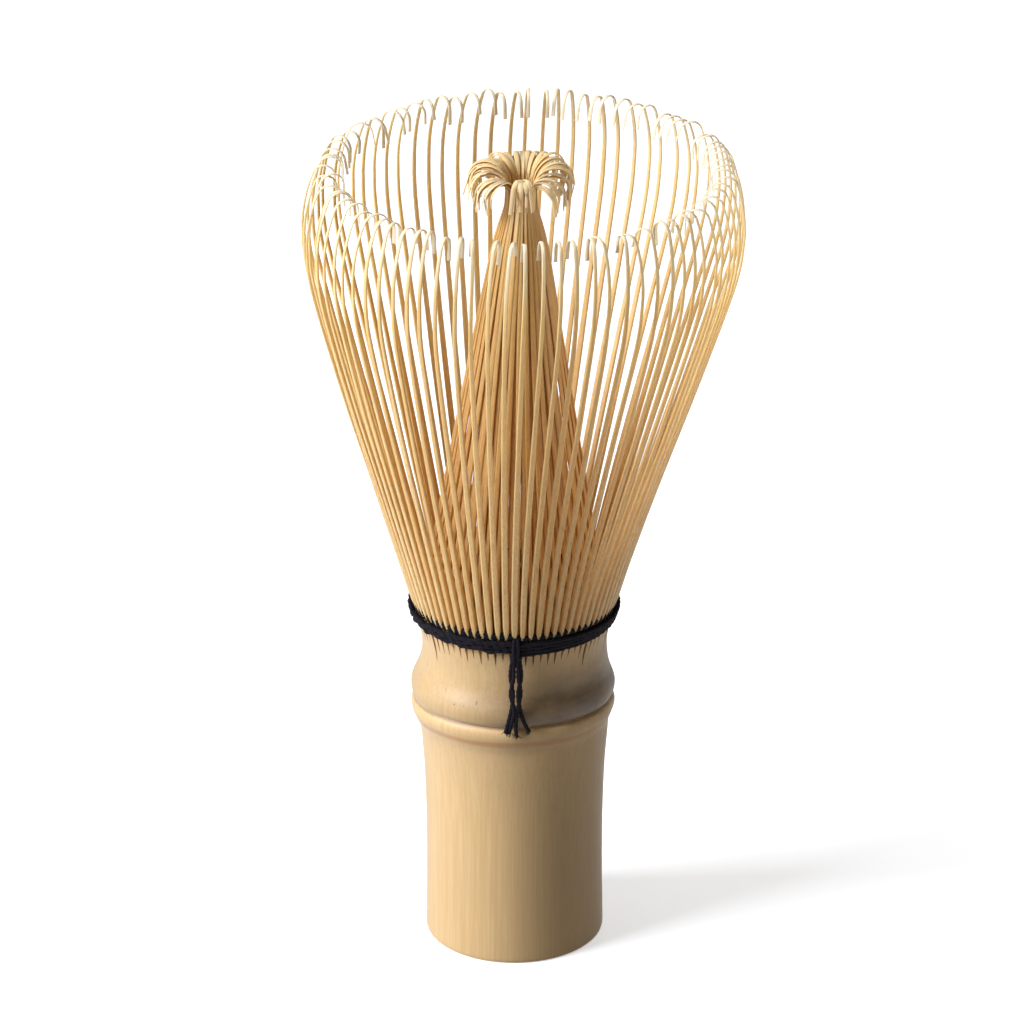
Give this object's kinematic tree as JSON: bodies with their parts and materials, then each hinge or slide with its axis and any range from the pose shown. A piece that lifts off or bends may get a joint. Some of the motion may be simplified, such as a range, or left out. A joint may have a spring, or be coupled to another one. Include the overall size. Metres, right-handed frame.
{
  "type": "bamboo tea whisk",
  "caption": "Hand whisk split from one bamboo culm: plain handle with a node, flared outer tines with hooked tips round a curled inner bundle, bound with thread.",
  "frame": {"origin": "centre of the handle's flat end, on which the whisk stands", "axes": "+Z along the handle towards the tines, -Y towards the knot of the thread"},
  "size_m": [0.057, 0.057, 0.1112],
  "materials": {
    "culm_bamboo": "satin bamboo skin, pale tan with faint lengthwise fibres",
    "outer_bamboo": "shaved bamboo, pale tan outside and golden inside",
    "inner_bamboo": "shaved bamboo, golden",
    "black_thread": "matt twisted cotton"
  },
  "bodies": {
    "whisk_handle": {"handle": "culm_bamboo", "binding_thread": "black_thread", "weaving_thread": "black_thread", "thread_knot": "black_thread", "thread_tail_1": "black_thread", "thread_tail_2": "black_thread", "thread_tail_3": "black_thread", "thread_tail_4": "black_thread"},
    "outer_sector_01": {"outer_tines_01": "outer_bamboo"},
    "outer_sector_02": {"outer_tines_02": "outer_bamboo"},
    "outer_sector_03": {"outer_tines_03": "outer_bamboo"},
    "outer_sector_04": {"outer_tines_04": "outer_bamboo"},
    "outer_sector_05": {"outer_tines_05": "outer_bamboo"},
    "outer_sector_06": {"outer_tines_06": "outer_bamboo"},
    "outer_sector_07": {"outer_tines_07": "outer_bamboo"},
    "outer_sector_08": {"outer_tines_08": "outer_bamboo"},
    "outer_sector_09": {"outer_tines_09": "outer_bamboo"},
    "outer_sector_10": {"outer_tines_10": "outer_bamboo"},
    "outer_sector_11": {"outer_tines_11": "outer_bamboo"},
    "outer_sector_12": {"outer_tines_12": "outer_bamboo"},
    "outer_sector_13": {"outer_tines_13": "outer_bamboo"},
    "outer_sector_14": {"outer_tines_14": "outer_bamboo"},
    "outer_sector_15": {"outer_tines_15": "outer_bamboo"},
    "outer_sector_16": {"outer_tines_16": "outer_bamboo"},
    "inner_sector_01": {"inner_tines_01": "inner_bamboo"},
    "inner_sector_02": {"inner_tines_02": "inner_bamboo"},
    "inner_sector_03": {"inner_tines_03": "inner_bamboo"},
    "inner_sector_04": {"inner_tines_04": "inner_bamboo"},
    "inner_sector_05": {"inner_tines_05": "inner_bamboo"},
    "inner_sector_06": {"inner_tines_06": "inner_bamboo"},
    "inner_sector_07": {"inner_tines_07": "inner_bamboo"},
    "inner_sector_08": {"inner_tines_08": "inner_bamboo"},
    "inner_sector_09": {"inner_tines_09": "inner_bamboo"},
    "inner_sector_10": {"inner_tines_10": "inner_bamboo"},
    "inner_sector_11": {"inner_tines_11": "inner_bamboo"},
    "inner_sector_12": {"inner_tines_12": "inner_bamboo"},
    "inner_sector_13": {"inner_tines_13": "inner_bamboo"},
    "inner_sector_14": {"inner_tines_14": "inner_bamboo"},
    "inner_sector_15": {"inner_tines_15": "inner_bamboo"},
    "inner_sector_16": {"inner_tines_16": "inner_bamboo"}
  },
  "joints": [
    {"name": "outer_flex_01", "type": "hinge", "parent": "whisk_handle", "child": "outer_sector_01", "pos_m": [0.0137, 0, 0.05], "axis": [0, 1, 0], "range_deg": [-2.5, 5], "stiffness_Nm_per_rad": 0.012},
    {"name": "outer_flex_02", "type": "hinge", "parent": "whisk_handle", "child": "outer_sector_02", "pos_m": [0.01266, 0.00524, 0.05], "axis": [-0.3827, 0.9239, 0], "range_deg": [-2.5, 5], "stiffness_Nm_per_rad": 0.012},
    {"name": "outer_flex_03", "type": "hinge", "parent": "whisk_handle", "child": "outer_sector_03", "pos_m": [0.00969, 0.00969, 0.05], "axis": [-0.7071, 0.7071, 0], "range_deg": [-2.5, 5], "stiffness_Nm_per_rad": 0.012},
    {"name": "outer_flex_04", "type": "hinge", "parent": "whisk_handle", "child": "outer_sector_04", "pos_m": [0.00524, 0.01266, 0.05], "axis": [-0.9239, 0.3827, 0], "range_deg": [-2.5, 5], "stiffness_Nm_per_rad": 0.012},
    {"name": "outer_flex_05", "type": "hinge", "parent": "whisk_handle", "child": "outer_sector_05", "pos_m": [0, 0.0137, 0.05], "axis": [-1, 0, 0], "range_deg": [-2.5, 5], "stiffness_Nm_per_rad": 0.012},
    {"name": "outer_flex_06", "type": "hinge", "parent": "whisk_handle", "child": "outer_sector_06", "pos_m": [-0.00524, 0.01266, 0.05], "axis": [-0.9239, -0.3827, 0], "range_deg": [-2.5, 5], "stiffness_Nm_per_rad": 0.012},
    {"name": "outer_flex_07", "type": "hinge", "parent": "whisk_handle", "child": "outer_sector_07", "pos_m": [-0.00969, 0.00969, 0.05], "axis": [-0.7071, -0.7071, 0], "range_deg": [-2.5, 5], "stiffness_Nm_per_rad": 0.012},
    {"name": "outer_flex_08", "type": "hinge", "parent": "whisk_handle", "child": "outer_sector_08", "pos_m": [-0.01266, 0.00524, 0.05], "axis": [-0.3827, -0.9239, 0], "range_deg": [-2.5, 5], "stiffness_Nm_per_rad": 0.012},
    {"name": "outer_flex_09", "type": "hinge", "parent": "whisk_handle", "child": "outer_sector_09", "pos_m": [-0.0137, 0, 0.05], "axis": [0, -1, 0], "range_deg": [-2.5, 5], "stiffness_Nm_per_rad": 0.012},
    {"name": "outer_flex_10", "type": "hinge", "parent": "whisk_handle", "child": "outer_sector_10", "pos_m": [-0.01266, -0.00524, 0.05], "axis": [0.3827, -0.9239, 0], "range_deg": [-2.5, 5], "stiffness_Nm_per_rad": 0.012},
    {"name": "outer_flex_11", "type": "hinge", "parent": "whisk_handle", "child": "outer_sector_11", "pos_m": [-0.00969, -0.00969, 0.05], "axis": [0.7071, -0.7071, 0], "range_deg": [-2.5, 5], "stiffness_Nm_per_rad": 0.012},
    {"name": "outer_flex_12", "type": "hinge", "parent": "whisk_handle", "child": "outer_sector_12", "pos_m": [-0.00524, -0.01266, 0.05], "axis": [0.9239, -0.3827, 0], "range_deg": [-2.5, 5], "stiffness_Nm_per_rad": 0.012},
    {"name": "outer_flex_13", "type": "hinge", "parent": "whisk_handle", "child": "outer_sector_13", "pos_m": [0, -0.0137, 0.05], "axis": [1, 0, 0], "range_deg": [-2.5, 5], "stiffness_Nm_per_rad": 0.012},
    {"name": "outer_flex_14", "type": "hinge", "parent": "whisk_handle", "child": "outer_sector_14", "pos_m": [0.00524, -0.01266, 0.05], "axis": [0.9239, 0.3827, 0], "range_deg": [-2.5, 5], "stiffness_Nm_per_rad": 0.012},
    {"name": "outer_flex_15", "type": "hinge", "parent": "whisk_handle", "child": "outer_sector_15", "pos_m": [0.00969, -0.00969, 0.05], "axis": [0.7071, 0.7071, 0], "range_deg": [-2.5, 5], "stiffness_Nm_per_rad": 0.012},
    {"name": "outer_flex_16", "type": "hinge", "parent": "whisk_handle", "child": "outer_sector_16", "pos_m": [0.01266, -0.00524, 0.05], "axis": [0.3827, 0.9239, 0], "range_deg": [-2.5, 5], "stiffness_Nm_per_rad": 0.012},
    {"name": "inner_flex_01", "type": "hinge", "parent": "whisk_handle", "child": "inner_sector_01", "pos_m": [0.01204, 0.00047, 0.05], "axis": [-0.0393, 0.9992, 0], "range_deg": [0, 6], "stiffness_Nm_per_rad": 0.006},
    {"name": "inner_flex_02", "type": "hinge", "parent": "whisk_handle", "child": "inner_sector_02", "pos_m": [0.01094, 0.00504, 0.05], "axis": [-0.4187, 0.9081, 0], "range_deg": [0, 6], "stiffness_Nm_per_rad": 0.006},
    {"name": "inner_flex_03", "type": "hinge", "parent": "whisk_handle", "child": "inner_sector_03", "pos_m": [0.00818, 0.00885, 0.05], "axis": [-0.7343, 0.6788, 0], "range_deg": [0, 6], "stiffness_Nm_per_rad": 0.006},
    {"name": "inner_flex_04", "type": "hinge", "parent": "whisk_handle", "child": "inner_sector_04", "pos_m": [0.00417, 0.01131, 0.05], "axis": [-0.9382, 0.3461, 0], "range_deg": [0, 6], "stiffness_Nm_per_rad": 0.006},
    {"name": "inner_flex_05", "type": "hinge", "parent": "whisk_handle", "child": "inner_sector_05", "pos_m": [-0.00047, 0.01204, 0.05], "axis": [-0.9992, -0.0393, 0], "range_deg": [0, 6], "stiffness_Nm_per_rad": 0.006},
    {"name": "inner_flex_06", "type": "hinge", "parent": "whisk_handle", "child": "inner_sector_06", "pos_m": [-0.00504, 0.01094, 0.05], "axis": [-0.9081, -0.4187, 0], "range_deg": [0, 6], "stiffness_Nm_per_rad": 0.006},
    {"name": "inner_flex_07", "type": "hinge", "parent": "whisk_handle", "child": "inner_sector_07", "pos_m": [-0.00885, 0.00818, 0.05], "axis": [-0.6788, -0.7343, 0], "range_deg": [0, 6], "stiffness_Nm_per_rad": 0.006},
    {"name": "inner_flex_08", "type": "hinge", "parent": "whisk_handle", "child": "inner_sector_08", "pos_m": [-0.01131, 0.00417, 0.05], "axis": [-0.3461, -0.9382, 0], "range_deg": [0, 6], "stiffness_Nm_per_rad": 0.006},
    {"name": "inner_flex_09", "type": "hinge", "parent": "whisk_handle", "child": "inner_sector_09", "pos_m": [-0.01204, -0.00047, 0.05], "axis": [0.0393, -0.9992, 0], "range_deg": [0, 6], "stiffness_Nm_per_rad": 0.006},
    {"name": "inner_flex_10", "type": "hinge", "parent": "whisk_handle", "child": "inner_sector_10", "pos_m": [-0.01094, -0.00504, 0.05], "axis": [0.4187, -0.9081, 0], "range_deg": [0, 6], "stiffness_Nm_per_rad": 0.006},
    {"name": "inner_flex_11", "type": "hinge", "parent": "whisk_handle", "child": "inner_sector_11", "pos_m": [-0.00818, -0.00885, 0.05], "axis": [0.7343, -0.6788, 0], "range_deg": [0, 6], "stiffness_Nm_per_rad": 0.006},
    {"name": "inner_flex_12", "type": "hinge", "parent": "whisk_handle", "child": "inner_sector_12", "pos_m": [-0.00417, -0.01131, 0.05], "axis": [0.9382, -0.3461, 0], "range_deg": [0, 6], "stiffness_Nm_per_rad": 0.006},
    {"name": "inner_flex_13", "type": "hinge", "parent": "whisk_handle", "child": "inner_sector_13", "pos_m": [0.00047, -0.01204, 0.05], "axis": [0.9992, 0.0393, 0], "range_deg": [0, 6], "stiffness_Nm_per_rad": 0.006},
    {"name": "inner_flex_14", "type": "hinge", "parent": "whisk_handle", "child": "inner_sector_14", "pos_m": [0.00504, -0.01094, 0.05], "axis": [0.9081, 0.4187, 0], "range_deg": [0, 6], "stiffness_Nm_per_rad": 0.006},
    {"name": "inner_flex_15", "type": "hinge", "parent": "whisk_handle", "child": "inner_sector_15", "pos_m": [0.00885, -0.00818, 0.05], "axis": [0.6788, 0.7343, 0], "range_deg": [0, 6], "stiffness_Nm_per_rad": 0.006},
    {"name": "inner_flex_16", "type": "hinge", "parent": "whisk_handle", "child": "inner_sector_16", "pos_m": [0.01131, -0.00417, 0.05], "axis": [0.3461, 0.9382, 0], "range_deg": [0, 6], "stiffness_Nm_per_rad": 0.006}
  ]
}
